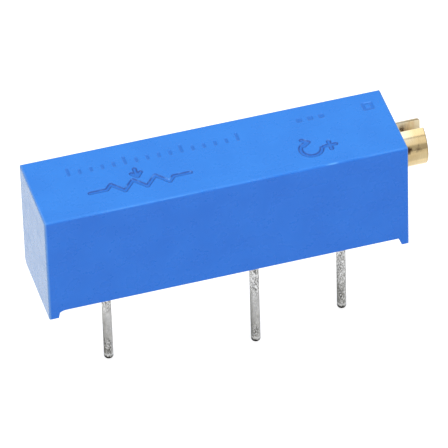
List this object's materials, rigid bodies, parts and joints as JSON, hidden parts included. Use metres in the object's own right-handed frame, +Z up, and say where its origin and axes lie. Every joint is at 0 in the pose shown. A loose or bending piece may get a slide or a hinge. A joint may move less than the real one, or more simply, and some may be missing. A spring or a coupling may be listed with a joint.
{
  "type": "trimmer potentiometer",
  "caption": "Rectangular multi-turn trimmer potentiometer with round board pins below and a slotted brass adjusting screw at one end.",
  "frame": {"origin": "where the axis of pin 1, the pin farthest from the screw's head, meets the board that the standoffs rest on", "axes": "+X along the housing towards the screw's head, +Y to the back, away from the middle pin, +Z up, away from the board"},
  "size_m": [0.0208, 0.005, 0.0121],
  "materials": {
    "housing_plastic": "moulded blue thermoset, satin, slightly rounded edges",
    "seal_epoxy": "poured epoxy, level and faintly rippled",
    "screw_brass": "turned pale brass with fine turning lines",
    "o_ring_rubber": "smooth black rubber",
    "retainer_steel": "stamped stainless steel",
    "carriage_plastic": "moulded off-white engineering plastic",
    "spring_alloy": "stamped precious-metal spring alloy",
    "brush_wire": "drawn precious-metal wire",
    "alumina": "fired white alumina",
    "cermet": "printed and fired resistive film",
    "conductor": "printed and fired silver conductor",
    "pin_tin": "hot tin dipped wire, mottled",
    "solder": "dull tin solder"
  },
  "bodies": {
    "case": {"housing": "housing_plastic", "base_seal": "seal_epoxy", "screw_retainer": "retainer_steel", "substrate": "alumina", "resistive_track": "cermet", "collector_track": "conductor", "end_pad_1": "conductor", "end_pad_3": "conductor", "pin_1": "pin_tin", "pin_2": "pin_tin", "pin_3": "pin_tin", "solder_1": "solder", "solder_2": "solder", "solder_3": "solder"},
    "screw": {"lead_screw": "screw_brass", "o_ring": "o_ring_rubber"},
    "slider": {"carriage": "carriage_plastic", "wiper_spring": "spring_alloy", "track_brush": "brush_wire", "collector_brush": "brush_wire"}
  },
  "joints": [
    {"name": "screw_turn", "type": "hinge", "parent": "case", "child": "screw", "pos_m": [0.00603, 0, 0.0046], "axis": [1, 0, 0], "range_deg": [-2700, 2700]},
    {"name": "carriage_slide", "type": "slide", "parent": "case", "child": "slider", "axis": [1, 0, 0], "range_m": [-0.006, 0.006]}
  ],
  "couplings": [
    {"joint": "screw_turn", "follows": "carriage_slide", "rad_per_m": -7854}
  ]
}
